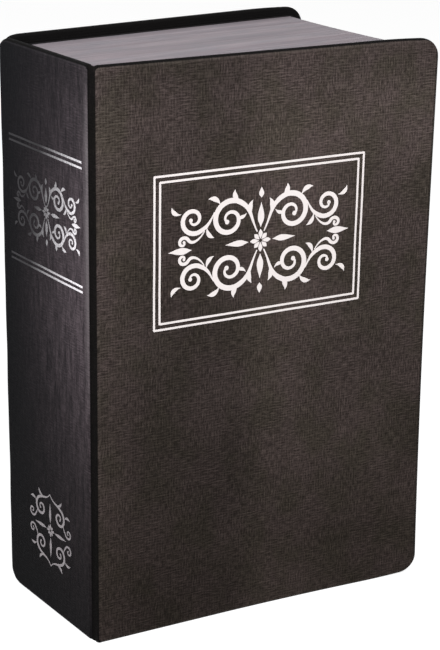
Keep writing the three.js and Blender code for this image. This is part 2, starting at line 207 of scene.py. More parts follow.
def slice_grid(bm, axis, places):
    """Cuts every face along planes, so that the panel can bend smoothly."""
    normal = Vector((0, 0, 0))
    normal[axis] = 1
    for place in places:
        geometry = bm.verts[:] + bm.edges[:] + bm.faces[:]
        bmesh.ops.bisect_plane(bm, geom=geometry, dist=1e-5, plane_co=normal * place, plane_no=normal)


def evenly(length, spacing):
    count = round(length / spacing)
    return [length * i / count for i in range(1, count)]


def panel(low, high, thickness, radii, rim, cuts):
    """A plate with rounded corners and rounded rims. Its x and y run along the outer face and its
    z goes inward. For the cloth's edge colours, which are partly wear and partly painted shade and
    highlight, each vertex keeps its depth and its distance from the free edges, in millimetres, and
    how near it is to the fore-edge: 1 there, and 0 where the rings begin."""
    bm = bmesh.new()
    start = rim + RIM_LEAD
    quarter = [math.radians(90 * i / 5) for i in range(6)]
    levels = [(start, 0)]
    levels += [(rim * (1 - math.sin(a)), rim * (1 - math.cos(a))) for a in quarter]
    levels += [(rim * (1 - math.cos(a)), thickness - rim * (1 - math.sin(a))) for a in quarter]
    levels += [(start, thickness)]
    rings = [
        [
            bm.verts.new((x, z, depth))
            for x, z in rounded_outline(low, high, inset, radii)
        ]
        for inset, depth in levels
    ]
    for a, b in zip(rings, rings[1:]):
        join_rings(bm, a, b)
    bm.faces.new(rings[0])
    bm.faces.new(reversed(rings[-1]))
    bmesh.ops.remove_doubles(bm, verts=bm.verts[:], dist=1e-4)
    for axis, places in enumerate(cuts):
        slice_grid(bm, axis, places)
    cloth_map = bm.loops.layers.uv.new("cloth")
    for face in bm.faces:
        for loop in face.loops:
            x, z, depth = loop.vert.co
            loop[cloth_map].uv = ((x + MAP_SLANT * depth) * MM, (z + MAP_SLANT * depth) * MM)
    inward = bm.verts.layers.float.new("inward")
    margin = bm.verts.layers.float.new("margin")
    near_fore = bm.verts.layers.float.new("near_fore")
    for vert in bm.verts:
        x, z, depth = vert.co
        vert[inward] = depth
        vert[near_fore] = max(0.0, 1 - (high[0] - x) / start)
        vert[margin] = min(high[0] - x, z - low[1], high[1] - z)
    return bm


def relief(x, z):
    """Slight unevenness of cloth on board."""
    waves = ((0.21, 0.07, 0.3), (-0.11, 0.19, 1.7), (0.05, 0.31, 4.1), (0.37, -0.13, 2.2))
    return RELIEF * sum(math.sin(a * x + b * z + c) for a, b, c in waves) / 2


def nearness(distance, reach):
    """1 at a distance of 0, and 0 from reach on."""
    return max(0.0, 1 - distance / reach) ** 2


def inward_from_ends(z, amount, reach):
    """How far up a point moves when the head and the foot are drawn in by their own amounts."""
    foot = amount["foot"] * nearness(z, reach)
    head = amount["head"] * nearness(HEIGHT - z, reach)
    return foot - head


def warp(x, z):
    """How far the front cover stands out of its plane. It is bent out at its free foot corner."""
    across = nearness(FRONT_SPAN - x, WARP_REACH["across"])
    return WARP * nearness(z, WARP_REACH["up"]) * across


def wear(x, z, span):
    """How far the free corners of a cover are worn towards its middle, measured upwards."""
    across = nearness(span - x, WEAR_REACH["across"])
    return across * inward_from_ends(z, CORNER_WEAR, WEAR_REACH["up"])


# Front cover
def cover_point(x, depth, z):
    """A point of the front cover, from the place that it has on a flat and unworn one."""
    return on_cover(x, depth - warp(x, z), z + wear(x, z, FRONT_SPAN))


def front_cover():
    low, high = (GROOVE_ON_FRONT, 0), (FRONT_SPAN, HEIGHT)
    cuts = (
        [GROOVE_ON_FRONT + s for s in evenly(FRONT_SPAN - GROOVE_ON_FRONT, GRID)],
        evenly(HEIGHT, GRID),
    )
    bm = panel(low, high, CLOTH_WRAP, COVER_CORNERS, RIM, cuts)
    for vert in bm.verts:
        x, z, depth = vert.co
        vert.co = cover_point(x, depth + relief(x, z) * on_face(depth), z)
    cover = finished("front_cover_cloth", bm, "cover", cover_cloth)
    weighted_normals(cover)
    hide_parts("front_cloth", "front_board")

    low = (GROOVE_ON_FRONT + PAPER_MARGIN, PAPER_MARGIN)
    high = (FRONT_SPAN - PAPER_MARGIN, HEIGHT - PAPER_MARGIN)
    free_corner = FREE_CORNER - PAPER_MARGIN
    radii = (free_corner, free_corner, PAPER_CORNER, PAPER_CORNER)
    bm = panel(low, high, PAPER, radii, PAPER_RIM, cuts)
    start = COVER_THICKNESS - PAPER
    for vert in bm.verts:
        x, z, depth = vert.co
        vert.co = cover_point(x, start + depth, z)
    sheet = finished("front_endpaper_sheet", bm, "cover", endpaper)
    weighted_normals(sheet)
    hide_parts("front_endpaper")


# Spine, rounded corner and back cover in one wrap of cloth
SPINE_LENGTH = DEPTH - BEND - GROOVE_ON_SPINE
BEND_LENGTH = BEND * math.pi / 2
CASE_LENGTH = SPINE_LENGTH + BEND_LENGTH + BACK_SPAN - BEND


def case_point(s, depth, z):
    """A point of the case. s runs along its outer face, from the groove round to the fore-edge."""
    middle = SPINE_LENGTH + BEND_LENGTH / 2
    near_bend = math.exp(-(((s - middle) / BEND_SPREAD) ** 2))
    z += near_bend * inward_from_ends(z, BEND_DROP, BEND_REACH)
    if s < SPINE_LENGTH:
        return in_row(depth, GROOVE_ON_SPINE + s, z)
    if s < SPINE_LENGTH + BEND_LENGTH:
        angle = (s - SPINE_LENGTH) / BEND
        radius = BEND - depth
        return in_row(BEND - radius * math.cos(angle), DEPTH - BEND + radius * math.sin(angle), z)
    x = BEND + s - SPINE_LENGTH - BEND_LENGTH
    return in_row(x, DEPTH - depth, z + wear(x, z, BACK_SPAN))


def on_face(depth):
    """Whether a vertex lies on the outer face, which is uneven, and not on the rims or turn-ins."""
    return depth < 0.01


def case():
    bend_cuts = [SPINE_LENGTH + BEND_LENGTH * i / 10 for i in range(-3, 14)]
    clear = 0.5
    cuts_along = [
        place
        for place in evenly(CASE_LENGTH, GRID)
        if not bend_cuts[0] - clear < place < bend_cuts[-1] + clear
    ]
    cuts = (sorted(cuts_along + bend_cuts), evenly(HEIGHT, GRID))
    bm = panel((0, 0), (CASE_LENGTH, HEIGHT), CLOTH_WRAP, COVER_CORNERS, RIM, cuts)
    for vert in bm.verts:
        s, z, depth = vert.co
        vert.co = case_point(s, depth + relief(s + CASE_RELIEF_START, z) * on_face(depth), z)
    wrap = finished("case_cloth", bm, "case", case_cloth)
    weighted_normals(wrap)
    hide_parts("spine_cloth", "spine_board", "back_joint_cloth", "back_cloth", "back_board")


# Cloth that bends in the groove, between the spine and the front cover. Its near-black colour is
# painted shade in the groove.
def groove():
    centre_line = [
        in_row(0.95, GROOVE_ON_SPINE + 0.9, 0),
        in_row(0.95, GROOVE_ON_SPINE + 0.3, 0),
        in_row(0.98, GROOVE_ON_SPINE - 0.1, 0),
        in_row(1.08, GROOVE_ON_SPINE - 0.4, 0),
        on_cover(GROOVE_ON_FRONT - 0.22, 2.15, 0),
        on_cover(GROOVE_ON_FRONT - 0.24, 1.75, 0),
        on_cover(GROOVE_ON_FRONT - 0.2, 1.35, 0),
        on_cover(GROOVE_ON_FRONT - 0.05, 0.95, 0),
        on_cover(GROOVE_ON_FRONT + 0.3, 0.62, 0),
        on_cover(GROOVE_ON_FRONT + 0.9, 0.55, 0),
    ]
    points = np.array([tuple(p) for p in centre_line])[:, :2]
    along = np.gradient(points, axis=0)
    along /= np.linalg.norm(along, axis=1)[:, None]
    across = np.stack((-along[:, 1], along[:, 0]), 1) * GROOVE_CLOTH * MM / 2
    loop = np.concatenate((points + across, (points - across)[::-1]))
    lengths = np.concatenate(([0], np.cumsum(np.linalg.norm(np.diff(points, axis=0), axis=1))))
    distance = np.concatenate((lengths, lengths[::-1]))
    bm = bmesh.new()
    cloth_map = bm.loops.layers.uv.new("cloth")
    heights = np.linspace(0.1, HEIGHT - 0.1, 90) * MM
    rings = [[bm.verts.new((x, y, z)) for x, y in loop] for z in heights]
    for a, b in zip(rings, rings[1:]):
        join_rings(bm, a, b)
    bm.faces.new(rings[0])
    bm.faces.new(reversed(rings[-1]))
    bm.verts.index_update()
    for face in bm.faces:
        for corner in face.loops:
            vert = corner.vert
            corner[cloth_map].uv = (distance[vert.index % len(loop)], vert.co.z)
    strip = finished("groove_cloth", bm, None, groove_cloth)
    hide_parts("front_joint_cloth")
    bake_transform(strip)


# Moulded page block, one ridge for each few leaves
def leaf_ring(y, ridge, setback, phase):
    """Points of the block's outline at one depth: along the foot, up the fore-edge and back."""
    across = (y - BLOCK_FRONT) / (BLOCK_BACK - BLOCK_FRONT)
    hollow = FORE_HOLLOW * (1 - (2 * across - 1) ** 2)
    end = BLOCK_END - hollow - ridge - setback
    low, high = BLOCK_FOOT + ridge, HEIGHT - BLOCK_FOOT - ridge
    along = np.linspace(0, 1, 15)
    places = BLOCK_START + (end - BLOCK_START) * along
    ripple = np.abs(PAGE_RIPPLE * np.sin(along * 9 + phase))
    foot = [(x, low + r) for x, r in zip(places, ripple)]
    fore = [(end - r, low + (high - low) * t) for t, r in zip(along[1:-1], ripple[1:-1])]
    head = [(x, high - r) for x, r in zip(places[::-1], ripple)]
    return foot + fore + head


def page_block():
    random = np.random.default_rng(11)
    leaves = round((BLOCK_BACK - BLOCK_FRONT) / PAGE_PITCH)
    wander = np.cumsum(random.normal(0, PAGE_WANDER, (leaves + 1, 3)), axis=0)
    bm = bmesh.new()
    rings = []
    for i in range(2 * leaves + 1):
        y = BLOCK_FRONT + (BLOCK_BACK - BLOCK_FRONT) * i / (2 * leaves)
        ridge = 0 if i % 2 else PAGE_RIDGE * random.uniform(0.5, 1)
        uneven = np.abs(wander[i // 2])
        ring = leaf_ring(y, ridge, min(uneven[0], PAGE_SETBACK), i * 0.7 + uneven[1] * 30)
        rings.append([bm.verts.new(in_row(x, y, z)) for x, z in ring])
    for a, b in zip(rings, rings[1:]):
        join_rings(bm, a, b)
    bm.faces.new(rings[-1])
    pocket_low = (POCKET["x"][0], POCKET["z"][0])
    pocket_high = (POCKET["x"][1], POCKET["z"][1])
    outline = rounded_outline(pocket_low, pocket_high, 0, (POCKET["corner"],) * 4)
    mouth = [bm.verts.new(in_row(x, BLOCK_FRONT, z)) for x, z in outline]
    floor = [bm.verts.new(in_row(x, POCKET["back"], z)) for x, z in outline]
    join_rings(bm, mouth, floor)
    bm.faces.new(floor)
    front = [
        bm.edges.get((ring[i], ring[i - 1]))
        for ring in (rings[0], mouth)
        for i in range(len(ring))
    ]
    bmesh.ops.triangle_fill(bm, use_beauty=True, edges=front)
    block = finished("page_block_edges", bm, "case", pages)
    smooth_by_angle(block)
    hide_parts("page_block")


# Foil strokes
def stroke(bm, place, points, widths, level=0.0):
    """A closed thin ribbon along points of the surface, of a width that changes along it."""
    points = np.array(points, float)
    widths = np.broadcast_to(np.asarray(widths, float), len(points))
    along = np.gradient(points, axis=0)
    along /= np.maximum(np.linalg.norm(along, axis=1), 1e-9)[:, None]
    across = np.stack((-along[:, 1], along[:, 0]), 1) * widths[:, None] / 2
    left, right = points + across, points - across
    top = FOIL_HEIGHT + level
    sides = []
    for (a, b), (c, d) in zip(left, right):
        section = ((a, b, FOIL_ROOT), (a, b, top), (c, d, top), (c, d, FOIL_ROOT))
        sides.append([bm.verts.new(place(*point)) for point in section])
    for a, b in zip(sides, sides[1:]):
        join_rings(bm, a, b)
    bm.faces.new(sides[0])
    bm.faces.new(reversed(sides[-1]))


def frame_rule(bm, place, low, high, width):
    """A closed rule round a rectangle."""
    outer = rounded_outline(low, high, -width / 2, (RULE_CORNER,) * 4, 4)
    inner = rounded_outline(low, high, width / 2, (RULE_CORNER,) * 4, 4)
    outer, inner = (split_long_sides(line) for line in (outer, inner))
    levels = ((outer, FOIL_ROOT), (outer, FOIL_HEIGHT), (inner, FOIL_HEIGHT), (inner, FOIL_ROOT))
    rings = [[bm.verts.new(place(a, b, height)) for a, b in line] for line, height in levels]
    for a, b in zip(rings, rings[1:] + rings[:1]):
        join_rings(bm, a, b)


def split_long_sides(line):
    """Adds points along the four straight sides, so that the rule follows the surface."""
    parts = 30
    corner = len(line) // 4
    points = []
    for i, point in enumerate(line):
        points.append(point)
        if i % corner == corner - 1:
            following = line[(i + 1) % len(line)]
            for j in range(1, parts):
                t = j / parts
                points.append(tuple(p + (q - p) * t for p, q in zip(point, following)))
    return points


def bezier(a, b, c, d, count):
    t = np.linspace(0, 1, count)[:, None]
    a, b, c, d = (np.array(p, float) for p in (a, b, c, d))
    return a * (1 - t) ** 3 + 3 * b * t * (1 - t) ** 2 + 3 * c * t**2 * (1 - t) + d * t**3


def scroll(start, lean, centre, radius, first, turns):
    """A stem that leaves start at an angle, then curls inward about a centre. Angles in degrees."""
    eye = 0.18
    t = np.linspace(0, 1, 60)
    angle = math.radians(first) + 2 * math.pi * turns * t
    reach = radius * (1 - (1 - eye) * t**0.9)
    curl = np.stack((centre[0] + reach * np.cos(angle), centre[1] + reach * np.sin(angle)), 1)
    heading = np.array((-math.sin(angle[0]), math.cos(angle[0]))) * math.copysign(1, turns)
    start = np.array(start, float)
    pull = 0.45 * np.linalg.norm(curl[0] - start)
    lean = np.array((math.cos(math.radians(lean)), math.sin(math.radians(lean))))
    stem = bezier(start, start + lean * pull, curl[0] - heading * pull, curl[0], 26)
    return np.concatenate((stem[:-1], curl))


def swelling(count, thin, thick, peak, end=None):
    """Widths that swell from thin to thick and run out again."""
    t = np.linspace(0, 1, count)
    rise = np.clip(t / peak, 0, 1)
    fall = np.clip((1 - t) / (1 - peak), 0, 1)
    low = np.where(t < peak, thin, thin if end is None else end)
    return low + (thick - low) * np.sin(math.pi / 2 * np.minimum(rise, fall)) ** 1.3


def leaf(base, tip, bulge):
    """Centre line of a short pointed leaf, bent sideways by bulge."""
    base, tip = np.array(base, float), np.array(tip, float)
    side = np.array((-(tip - base)[1], (tip - base)[0])) * bulge
    return bezier(base, base + (tip - base) * 0.35 + side, base + (tip - base) * 0.7 + side, tip, 14)


# One quarter of each ornament, in millimetres from its centre: scrolls with their thin, thick and
# end widths, leaves with their widths, darts from a point to a point, and how far its petals reach
LABEL_SCROLLS = (
    (scroll((1.2, 3.0), 62, (11.2, 8.2), 6.3, 112, -1.42), 0.4, 1.75, 0.7),
    (scroll((16.6, 11.2), -62, (24.0, 9.6), 4.6, -112, 1.3), 0.35, 1.5, 0.6),
    (scroll((20.0, 5.6), -60, (27.4, 2.6), 1.9, 150, -1.0), 0.3, 1.1, 0.5),
)
LABEL_LEAVES = (
    (leaf((3.3, 8.4), (3.0, 13.6), -0.22), 1.7),
    (leaf((7.6, 13.6), (9.4, 17.6), -0.25), 1.7),
    (leaf((14.6, 13.4), (18.8, 15.6), 0.25), 1.6),
    (leaf((19.2, 6.6), (16.6, 3.0), 0.25), 1.4),
    (leaf((28.2, 11.8), (31.4, 14.4), -0.3), 1.4),
    (leaf((5.2, 9.6), (8.4, 8.6), -0.25), 1.2),
)
LABEL_DARTS = (
    ((0, 4.4), (0, 12.5), 2.3),
    ((0, 14), (0, 17.4), 1.8),
    ((4.4, 0), (12.5, 0), 2.0),
    ((24.5, 0), (32.5, 0), 2.2),
)
LABEL_PETAL = 3.1
FOOT_SCROLLS = (
    (scroll((0, 12.4), -50, (5.6, 6.2), 3.2, 55, -1.25), 0.3, 0.9, 0.45),
    (scroll((8.0, 4.4), -70, (11.0, 3.1), 1.9, -145, 1.05), 0.3, 0.65, 0.35),
)
FOOT_LEAVES = (
    (leaf((4.4, 10.4), (7.0, 12.2), -0.25), 0.9),
    (leaf((8.8, 7.4), (12.0, 7.8), 0.25), 0.9),
)
FOOT_DARTS = (((0, 2.6), (0, 9.2), 1.2), ((2.6, 0), (9.4, 0), 1.1))
FOOT_PETAL = 1.9
LABEL_ART = (LABEL_SCROLLS, LABEL_LEAVES, LABEL_DARTS, LABEL_PETAL)
FOOT_ART = (FOOT_SCROLLS, FOOT_LEAVES, FOOT_DARTS, FOOT_PETAL)


def ornament(bm, place, centre, scale, art):
    """A rosette with darts, scrolls and leaves about it, mirrored into all four quarters. Each
    stroke lies a little higher than the one before, so that none share a surface."""
    scrolls, leaves, darts, petal = art
    level = itertools.count(1)

    def press(points, widths, side=1, up=1):
        placed = np.array(centre) + np.array(points) * (side * scale, up * scale)
        stroke(bm, place, placed, np.array(widths) * scale, FOIL_STEP * next(level))

    for side in (1, -1):
        for up in (1, -1):
            for points, thin, thick, end in scrolls:
                press(points, swelling(len(points), thin, thick, 0.34, end), side, up)
                across = np.linspace(-1, 1, 13) * 0.42 * thick
                widths = 2 * np.sqrt(np.maximum((0.43 * thick) ** 2 - across**2, 0.0001))
                ball = [(points[-1][0] + x, points[-1][1]) for x in across]
                press(ball, widths, side, up)
            for points, width in leaves:
                press(points, swelling(len(points), 0.1, width, 0.55), side, up)
        for start, end, width in darts:
            points = np.linspace(start, end, 14)
            press(points, swelling(14, 0.1, width, 0.4), side, side)
    for i in range(8):
        angle = math.radians(45 * i)
        reach = np.linspace(0.2, 1 if i % 2 else 1.18, 8) * petal
        points = [(r * math.cos(angle), r * math.sin(angle)) for r in reach]
        press(points, swelling(8, 0.06 * petal, 0.47 * petal, 0.6))


def foil_piece(name, bm, body, surface):
    """Foil lies flat, with crisp edges."""
    smooth_by_angle(finished(name, bm, body, surface))


def foils():
    def on_front(x, z, height):
        return cover_point(x, relief(x, z) - height, z)

    def on_spine(y, z, height):
        s = y - GROOVE_ON_SPINE
        return case_point(s, relief(s + CASE_RELIEF_START, z) - height, z)

    bm = bmesh.new()
    (x0, x1), (z0, z1) = LABEL["x"], LABEL["z"]
    inset = LABEL["inset"]
    frame_rule(bm, on_front, (x0, z0), (x1, z1), RULE_WIDTH)
    frame_rule(bm, on_front, (x0 + inset, z0 + inset), (x1 - inset, z1 - inset), RULE_WIDTH)
    foil_piece("label_rules", bm, "cover", front_foil)

    bm = bmesh.new()
    middle = ((x0 + x1) / 2, (z0 + z1) / 2)
    ornament(bm, on_front, middle, LABEL_SCALE, LABEL_ART)
    foil_piece("label_ornament", bm, "cover", front_foil)

    bm = bmesh.new()
    for z in SPINE_RULES["z"]:
        points = [(y, z) for y in np.linspace(*SPINE_RULES["y"], 30)]
        stroke(bm, on_spine, points, SPINE_RULE_WIDTH)
    foil_piece("spine_rules", bm, "case", spine_foil)

    bm = bmesh.new()
    ornament(bm, on_spine, SPINE_ORNAMENT["centre"], SPINE_ORNAMENT["scale"], LABEL_ART)
    foil_piece("spine_ornament", bm, "case", spine_foil)

    bm = bmesh.new()
    ornament(bm, on_spine, FOOT_ORNAMENT["centre"], FOOT_ORNAMENT["scale"], FOOT_ART)
    foil_piece("foot_ornament", bm, "case", foot_foil)


# Material helpers
def srgb(r, g, b):
    """A colour given as it looks on screen, 0 to 255, as the shader's linear values."""
    values = [v / 255 for v in (r, g, b)]
    return tuple(v / 12.92 if v <= 0.04045 else ((v + 0.055) / 1.055) ** 2.4 for v in values) + (1,)


def new_material(name):
    surface = bpy.data.materials.new(name)
    surface.use_nodes = True
    surface.node_tree.nodes.clear()
    return surface, surface.node_tree


def add(tree, kind, inputs=None, **settings):
    """A shader node with its settings made, and its inputs linked or set."""
    node = tree.nodes.new("ShaderNode" + kind)
    for key, value in settings.items():
        setattr(node, key, value)
    for key, value in (inputs or {}).items():
        if isinstance(value, bpy.types.NodeSocket):
            tree.links.new(value, node.inputs[key])
        else:
            node.inputs[key].default_value = value
    return node


def scaled(tree, coordinates, scale):
    return add(tree, "Mapping", {"Vector": coordinates, "Scale": scale}).outputs["Vector"]


def noise(tree, coordinates, scale, detail=2.0, roughness=0.5):
    inputs = {
        "Vector": scaled(tree, coordinates, scale),
        "Scale": 1.0,
        "Detail": detail,
        "Roughness": roughness,
    }
    return add(tree, "TexNoise", inputs).outputs["Fac"]


def maths(tree, operation, a, b, clamp=False):
    return add(tree, "Math", {0: a, 1: b}, operation=operation, use_clamp=clamp).outputs[0]


def product(tree, *values):
    result = values[0]
    for value in values[1:]:
        result = maths(tree, "MULTIPLY", result, value)
    return result


def remap(tree, value, low, high, to_low=0.0, to_high=1.0):
    inputs = {"Value": value, "From Min": low, "From Max": high, "To Min": to_low, "To Max": to_high}
    return add(tree, "MapRange", inputs).outputs["Result"]


def remap_mm(tree, value, low, high, to_low=0.0, to_high=1.0):
    """Remaps a place in metres, between two that are given in millimetres."""
    return remap(tree, value, low * MM, high * MM, to_low, to_high)


def mix(tree, factor, a, b, blend="MIX"):
    return add(tree, "Mix", {0: factor, 6: a, 7: b}, data_type="RGBA", blend_type=blend).outputs[2]


def shade(tree, factor, colour, tint):
    """The colour, multiplied by a tint as far as factor says."""
    return mix(tree, factor, colour, mix(tree, 1.0, colour, tint, "MULTIPLY"))


def attribute(tree, name):
    return add(tree, "Attribute", attribute_name=name).outputs["Fac"]


def bump(tree, height, strength, distance):
    inputs = {"Height": height, "Strength": strength, "Distance": distance}
    return add(tree, "Bump", inputs).outputs["Normal"]


def output(tree, shader):
    add(tree, "OutputMaterial", {"Surface": shader})


# Linen book cloth. Its map runs in metres along the cloth: X from the hinge, Y up from the foot.
PATCH_TINT = srgb(229, 236, 224)
# A tint for painted shade in bands past the hinge, towards the fore-edge and under the head
PAINTED_SHADE_TINT = srgb(216, 216, 216)
# A tint for painted shade towards the foot
FOOT_PAINTED_SHADE_TINT = srgb(188, 186, 183)


def slub_pattern(tree, cloth):
    """Slubs both ways, in patches where one way is the stronger."""
    upright = noise(tree, cloth, (2300, 420, 1), 2.0, 0.6)
    level = noise(tree, cloth, (420, 2300, 1), 2.0, 0.6)
    both = maths(tree, "MAXIMUM", upright, level)
    way = remap(tree, noise(tree, cloth, (85, 85, 1), 2.0, 0.5), 0.44, 0.56)
    stronger = add(tree, "Mix", {0: way, 2: upright, 3: level}).outputs[0]
    return add(tree, "Mix", {0: 0.45, 2: both, 3: stronger}).outputs[0]


def thread_pattern(tree, cloth):
    """A fine weave of crossing threads."""
    wave = {"Vector": cloth, "Scale": 340.0, "Distortion": 1.2, "Detail": 1.0}
    threads = [
        add(tree, "TexWave", wave, bands_direction=direction).outputs["Fac"]
        for direction in ("X", "Y")
    ]
    return maths(tree, "MULTIPLY", maths(tree, "ADD", *threads), 0.5)


def painted_shade_bands(tree, place, colour):
    """Painted shade: the cloth is painted a little darker past the hinge, towards the fore-edge and
    under the head.
    """
    rise = remap_mm(tree, place["X"], 0, 16, 0.25, 1)
    fall = remap_mm(tree, place["X"], 47, 58, 1, 0)
    fore = remap_mm(tree, place["X"], 68, 86, 0, 0.3)
    colour = shade(tree, maths(tree, "ADD", product(tree, rise, fall), fore), colour, PAINTED_SHADE_TINT)
    head = remap_mm(tree, place["Y"], 163, 176, 0, 0.75)
    past_corner = remap_mm(tree, place["X"], 12, 30, 0.3, 1)
    return shade(tree, product(tree, head, past_corner), colour, PAINTED_SHADE_TINT)


def spine_painted_sheen(tree, cloth, place, slubs, dark, light):
    """A painted sheen on the spine: lighter in streaks near the groove, and less at its foot and its
    head.
    """
    across = maths(tree, "POWER", remap_mm(tree, place["X"], 0, 48, 1, 0), 1.5)
    foot = maths(tree, "POWER", remap_mm(tree, place["Y"], 0, 100, 0.29, 1), 2.0)
    head = remap_mm(tree, place["Y"], 112, 175, 1, 0.3)
    streaks = remap(tree, noise(tree, cloth, (640, 75, 1), 3.0, 0.7), 0.32, 0.68, 0.4, 1.5)
    threads = remap(tree, slubs, 0.46, 0.66, 0.7, 1.35)
    painted_sheen = product(tree, across, foot, head)
    factor = maths(tree, "MULTIPLY", painted_sheen, product(tree, streaks, threads), True)
    return mix(tree, factor, dark, light)


def ridge_painted_highlight(tree, cloth, place):
    """How strongly a painted highlight shows along the spine's edge at the groove, most a little above
    its middle.
    """
    grain = remap(tree, noise(tree, cloth, (500, 60, 1), 3.0, 0.7), 0.35, 0.65, 0.35, 1)
    edge = remap_mm(tree, place["X"], 0.8, 2.4, 1, 0)
    foot = remap_mm(tree, place["Y"], 70, 115)
    head = remap_mm(tree, place["Y"], 150, 177, 1, 0.1)
    return product(tree, grain, edge, foot, head)


def edge_lines(tree, cloth, colour, wear_and_painted_light, rim):
    """A lighter line along the free edges of the face, partly wear and partly painted highlight, a dark
    line of painted shade at the fore-edge, and dark rims of painted shade, which begin nearer to the
    face at the free edges than at the hinge."""
    margin = attribute(tree, "margin")
    # A lighter line along the free edges: partly wear, partly painted highlight
    rub = remap(tree, noise(tree, cloth, (260, 260, 1), 3.0, 0.7), 0.35, 0.65, 0.1, 0.4)
    outer = remap(tree, margin, 0.4, 0.7)
    inner = remap(tree, margin, 0.8, 1.2, 1, 0)
    colour = mix(tree, product(tree, outer, inner, rub), colour, wear_and_painted_light)
    # Painted shade: a dark line along the fore-edge
    fore = remap(tree, attribute(tree, "near_fore"), 0, 0.35, 0, 0.5)
    colour = mix(tree, fore, colour, rim)
    # Painted shade on the rims
    start = remap(tree, margin, 0.5, 1.5, 0.02, 0.4)
    past_start = maths(tree, "SUBTRACT", attribute(tree, "inward"), start)
    return mix(tree, remap(tree, past_start, 0, 0.2), colour, rim)


def linen(name, dark, light, wear_and_painted_light, rim, spine=None):
    """Cloth with dark gaps and light threads, painted shade in bands and towards the foot, its lighter
    edge line (partly wear, partly painted highlight) and its rims of painted shade. A spine has three
    more colours: its own dark colour, a painted sheen, and a painted highlight along its edge."""
    surface, tree = new_material(name)
    cloth = add(tree, "UVMap", uv_map="cloth").outputs["UV"]
    place = add(tree, "SeparateXYZ", {"Vector": cloth}).outputs
    slubs = slub_pattern(tree, cloth)
    weave = thread_pattern(tree, cloth)
    cloudy = remap(tree, noise(tree, cloth, (24, 30, 1), 2.0, 0.5), 0.35, 0.65, -0.08, -0.02)
    lift = maths(tree, "ADD", cloudy, maths(tree, "MULTIPLY", weave, 0.1))
    colour = mix(tree, remap(tree, maths(tree, "ADD", slubs, lift), 0.42, 0.7), dark, light)
    patches = remap(tree, noise(tree, cloth, (62, 48, 1), 3.0, 0.6), 0.42, 0.6)
    colour = shade(tree, patches, colour, PATCH_TINT)
    colour = painted_shade_bands(tree, place, colour)
    if spine:
        without_sheen, painted_sheen, ridge = spine
        on_spine = maths(tree, "LESS_THAN", place["X"], (SPINE_LENGTH + SPINE_TONE_PAST) * MM)
        spine_colour = spine_painted_sheen(tree, cloth, place, slubs, without_sheen, painted_sheen)
        colour = mix(tree, on_spine, colour, spine_colour)
        # Painted highlight along the spine's edge at the groove
        colour = mix(tree, ridge_painted_highlight(tree, cloth, place), colour, ridge)
    # Painted shade: the cloth is painted darker towards the foot
    colour = shade(tree, remap_mm(tree, place["Y"], 20, 160, 1, 0), colour, FOOT_PAINTED_SHADE_TINT)
    colour = edge_lines(tree, cloth, colour, wear_and_painted_light, rim)
    height = maths(tree, "ADD", product(tree, slubs, 1.6), product(tree, weave, 0.5))
    shader = add(tree, "BsdfPrincipled", {
        "Base Color": colour,
        "Roughness": remap(tree, slubs, 0.4, 0.7, 0.9, 0.74),
        "Normal": bump(tree, height, 0.6, 0.00025),
    })
    shader.inputs["Specular IOR Level"].default_value = 0.05
    output(tree, shader.outputs["BSDF"])
    return surface


def page_edges():
    surface, tree = new_material("page_edges")
    place = add(tree, "TexCoord").outputs["Object"]
    fine = noise(tree, place, (14, 2600, 14), 2.0, 0.7)
    bands = noise(tree, place, (9, 420, 9), 3.0, 0.7)
    hue = noise(tree, place, (45, 160, 45), 2.0, 0.6)
    colour = mix(tree, remap(tree, hue, 0.38, 0.64), srgb(128, 119, 123), srgb(115, 111, 116))
    colour = mix(tree, remap(tree, bands, 0.35, 0.7, 0, 0.55), colour, srgb(98, 89, 94))
    colour = mix(tree, remap(tree, fine, 0.42, 0.72, 0, 0.5), colour, srgb(81, 72, 77))
    shader = add(tree, "BsdfPrincipled", {
        "Base Color": colour,
        "Roughness": remap(tree, bands, 0.3, 0.7, 0.5, 0.72),
        "Normal": bump(tree, fine, 0.5, 0.0002),
    })
    shader.inputs["Specular IOR Level"].default_value = 0.35
    output(tree, shader.outputs["BSDF"])
    return surface


def endpaper_sheet():
    surface, tree = new_material("endpaper_sheet")
    place = add(tree, "TexCoord").outputs["Object"]
    fibres = noise(tree, place, (900, 900, 240), 4.0, 0.7)
    cloudy = noise(tree, place, (40, 40, 40), 3.0, 0.6)
    colour = mix(tree, remap(tree, cloudy, 0.35, 0.7), srgb(15, 14, 15), srgb(20, 18, 19))
    colour = mix(tree, remap(tree, fibres, 0.5, 0.75, 0, 0.5), colour, srgb(30, 27, 28))
    shader = add(tree, "BsdfPrincipled", {
        "Base Color": colour,
        "Roughness": remap(tree, cloudy, 0.3, 0.7, 0.7, 0.85),
        "Normal": bump(tree, fibres, 0.25, 0.0001),
    })
    shader.inputs["Specular IOR Level"].default_value = 0.12
    output(tree, shader.outputs["BSDF"])
    return surface


def greyboard_core():
    surface, tree = new_material("greyboard_core")
    place = add(tree, "TexCoord").outputs["Object"]
    pulp = noise(tree, place, (1200, 2600, 1200), 4.0, 0.7)
    colour = mix(tree, remap(tree, pulp, 0.35, 0.7), srgb(118, 108, 94), srgb(150, 140, 124))
    shader = add(tree, "BsdfPrincipled", {
        "Base Color": colour,
        "Roughness": 0.9,
        "Normal": bump(tree, pulp, 0.4, 0.0001),
    })
    output(tree, shader.outputs["BSDF"])
    return surface


